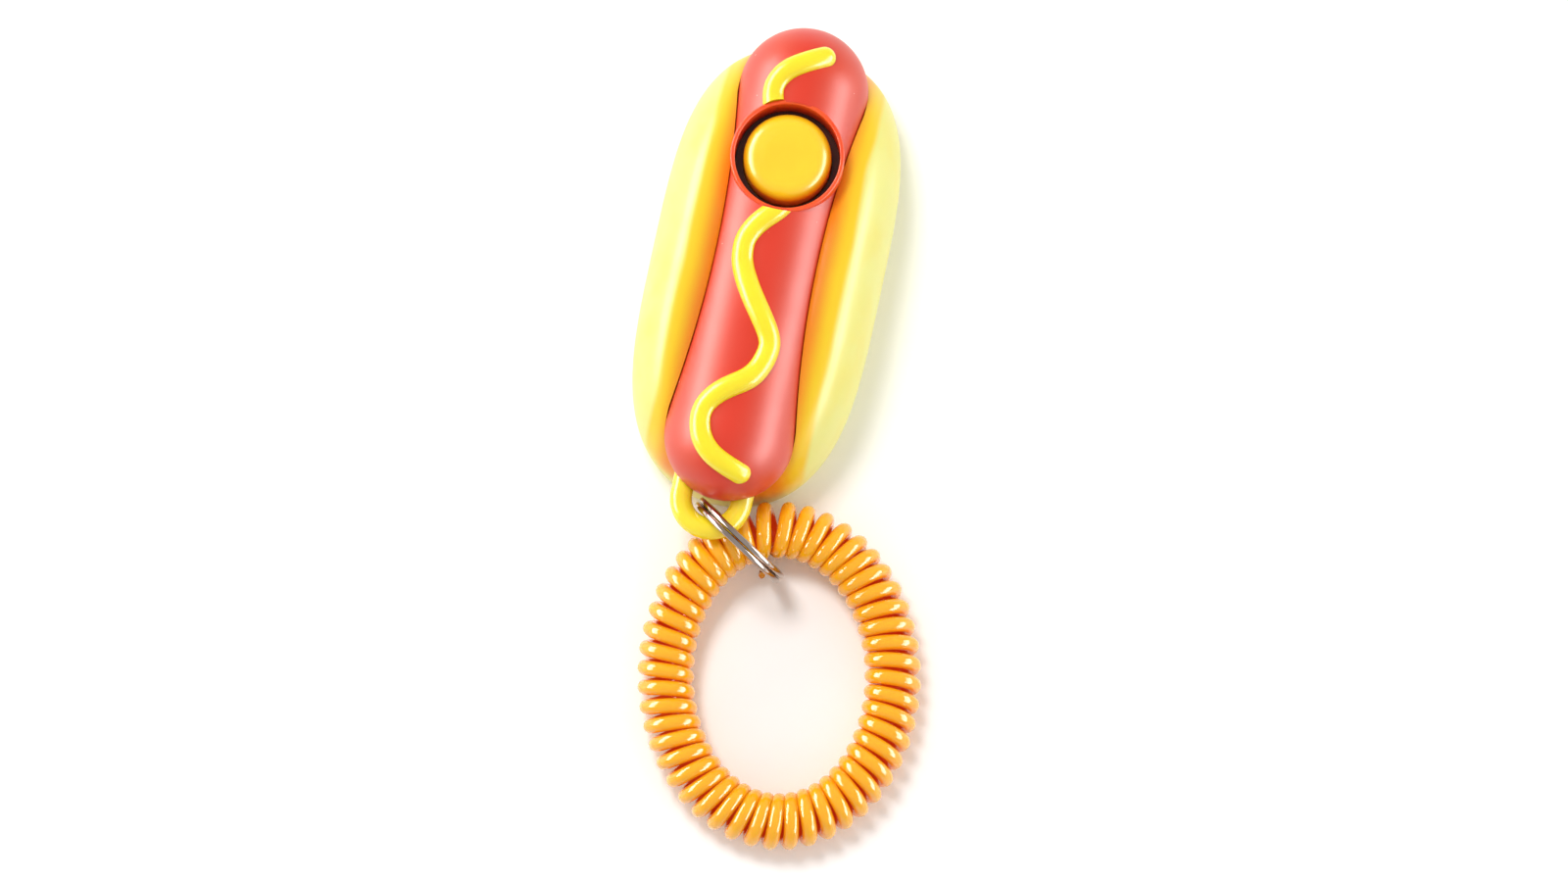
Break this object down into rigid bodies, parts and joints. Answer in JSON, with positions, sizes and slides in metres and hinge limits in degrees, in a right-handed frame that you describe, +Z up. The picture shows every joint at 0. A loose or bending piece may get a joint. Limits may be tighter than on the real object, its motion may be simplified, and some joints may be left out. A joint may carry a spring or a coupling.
{
  "type": "clicker trainer",
  "caption": "Hand-held pet training clicker shaped like a filled bun, with a sprung push button, a lanyard loop, a split ring and a curly wrist coil.",
  "frame": {"origin": "middle of the case's flat underside, on the surface it lies on", "axes": "+Y along the case towards the button end, +Z up out of the button, +X across the case"},
  "size_m": [0.0566, 0.1287, 0.0265],
  "materials": {
    "bun_yellow": "satin moulded ABS, pale lemon yellow",
    "base_yellow": "fine-textured moulded ABS",
    "sausage_red": "satin moulded ABS, tomato red",
    "mustard_yellow": "glossy paint-like yellow",
    "button_yellow": "satin moulded ABS, golden yellow",
    "guide_brown": "dark moulded plastic",
    "spring_steel": "rolled spring steel",
    "clamp_black": "moulded nylon",
    "screw_steel": "zinc-plated steel",
    "loop_yellow": "glossy moulded plastic",
    "ring_nickel": "polished nickel plate",
    "coil_orange": "glossy translucent polyurethane cord"
  },
  "bodies": {
    "case": {"bun_shell": "bun_yellow", "base_cover": "base_yellow", "sausage_cover": "sausage_red", "mustard_upper": "mustard_yellow", "mustard_lower": "mustard_yellow", "guide_ring": "guide_brown", "blade_clamp": "clamp_black", "clamp_screw": "screw_steel", "case_screw_north": "screw_steel", "case_screw_south": "screw_steel", "lanyard_loop": "loop_yellow"},
    "button": {"button": "button_yellow"},
    "blade": {"click_blade": "spring_steel"},
    "ring": {"split_ring": "ring_nickel"},
    "coil": {"wrist_coil": "coil_orange"}
  },
  "joints": [
    {"name": "button_press", "type": "slide", "parent": "case", "child": "button", "axis": [0, 0, -1], "range_m": [0, 0.0016], "stiffness_N_per_m": 2500, "springref_m": -0.0006},
    {"name": "blade_flex", "type": "hinge", "parent": "case", "child": "blade", "pos_m": [0, -0.01, 0.00985], "axis": [-1, 0, 0], "range_deg": [0, 3.8]},
    {"name": "ring_swing", "type": "hinge", "parent": "case", "child": "ring", "pos_m": [0.00206, -0.04216, 0.0128], "axis": [-0.8039, -0.5948, 0], "range_deg": [0, 45]},
    {"name": "coil_lift", "type": "hinge", "parent": "ring", "child": "coil", "pos_m": [0.0043, -0.04309, 0.00645], "axis": [-0.7721, -0.6355, 0], "range_deg": [0, 45]}
  ],
  "couplings": [
    {"joint": "blade_flex", "follows": "button_press", "rad_per_m": 40}
  ]
}
